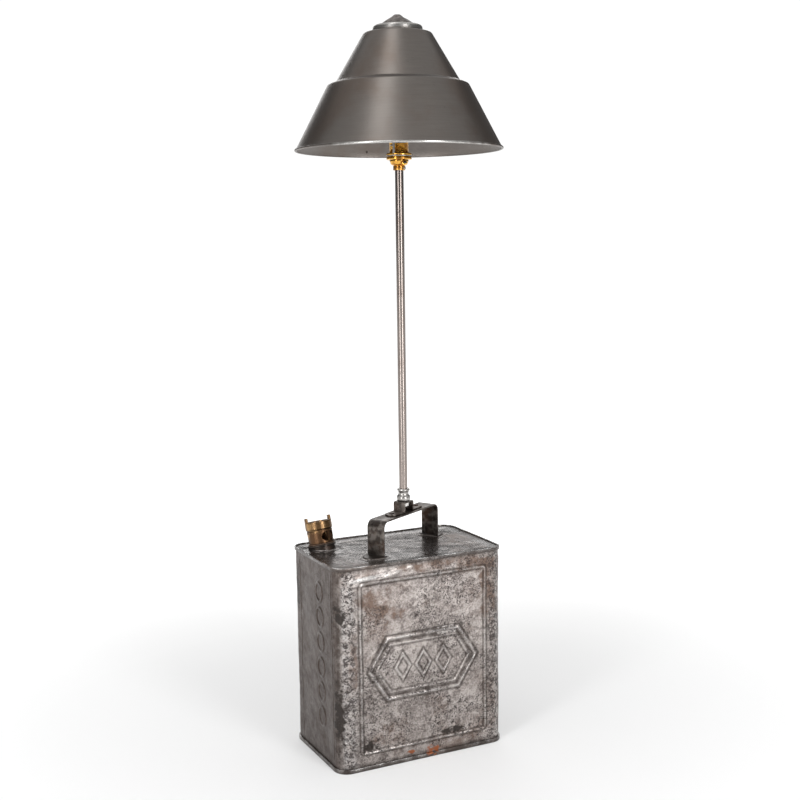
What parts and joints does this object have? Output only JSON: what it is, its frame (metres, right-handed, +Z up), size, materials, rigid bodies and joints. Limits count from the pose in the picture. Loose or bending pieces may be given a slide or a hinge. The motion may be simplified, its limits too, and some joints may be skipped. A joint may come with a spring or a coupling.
{
  "type": "table lamp",
  "caption": "Table lamp on a rectangular petrol can: bent-strap handle, straight stem, switched bayonet lampholder and stepped spun-metal shade, with a screw filler cap.",
  "frame": {"origin": "on the floor, on the axis of the stem, lampholder and shade", "axes": "+Z up along the stem; +X along the can's long side, away from the filler cap; the can's front looks along -Y"},
  "size_m": [0.268, 0.268, 0.9565],
  "materials": {
    "pitted_steel": "bare tinplate, pitted and patinated, under clear lacquer",
    "lacquered_steel": "smooth grey tinplate under gloss lacquer",
    "dark_steel": "dark brown-black patina, waxed",
    "polished_steel": "polished bare steel",
    "satin_nickel": "satin nickel plate",
    "aged_brass": "aged brown brass with bright worn edges",
    "bright_brass": "polished brass",
    "spun_steel": "spun steel with fine turning lines, clear lacquer",
    "leather": "oiled leather washer",
    "black_phenolic": "moulded black phenolic",
    "pearl_glass": "pearl"
  },
  "bodies": {
    "can": {"can_body": "pitted_steel", "can_top": "lacquered_steel", "can_bottom": "pitted_steel", "filler_neck": "dark_steel", "handle": "dark_steel", "handle_foot_left": "dark_steel", "handle_foot_right": "dark_steel", "stem_bracket": "dark_steel", "bracket_rivet_left": "dark_steel", "bracket_rivet_right": "dark_steel", "stem_nipple": "satin_nickel", "stem_lock_nut": "satin_nickel", "stem_coupler": "satin_nickel", "stem_tube": "polished_steel", "holder_cap": "bright_brass", "switch_bush_front": "bright_brass", "switch_bush_back": "bright_brass", "holder_body": "bright_brass", "holder_insulator": "black_phenolic", "contact_plunger_left": "bright_brass", "contact_plunger_right": "bright_brass", "shade_ring_lower": "bright_brass", "shade_ring_upper": "bright_brass", "carrier_ring": "satin_nickel", "carrier_harp": "satin_nickel", "carrier_seat": "satin_nickel", "bulb_cap": "satin_nickel", "bulb_glass": "pearl_glass"},
    "cap_seal": {"cap_washer": "leather"},
    "cap": {"filler_cap": "aged_brass"},
    "switch": {"switch_bar": "black_phenolic"},
    "shade": {"shade": "spun_steel", "finial_washer": "leather", "finial": "dark_steel"}
  },
  "joints": [
    {"name": "cap_lift", "type": "slide", "parent": "can", "child": "cap_seal", "axis": [-0.0689, 0.2159, 0.974], "range_m": [0, 0.0106]},
    {"name": "cap_turn", "type": "hinge", "parent": "cap_seal", "child": "cap", "pos_m": [-0.1044, 0.0365, 0.2755], "axis": [-0.0689, 0.2159, 0.974], "range_deg": [0, 1080]},
    {"name": "switch_push", "type": "slide", "parent": "can", "child": "switch", "axis": [0, 1, 0], "range_m": [0, 0.0045]},
    {"name": "shade_turn", "type": "hinge", "parent": "can", "child": "shade", "pos_m": [0, 0, 0.9428], "axis": [0, 0, 1], "continuous": true}
  ],
  "couplings": [
    {"joint": "cap_lift", "follows": "cap_turn", "m_per_rad": 0.00055704}
  ]
}
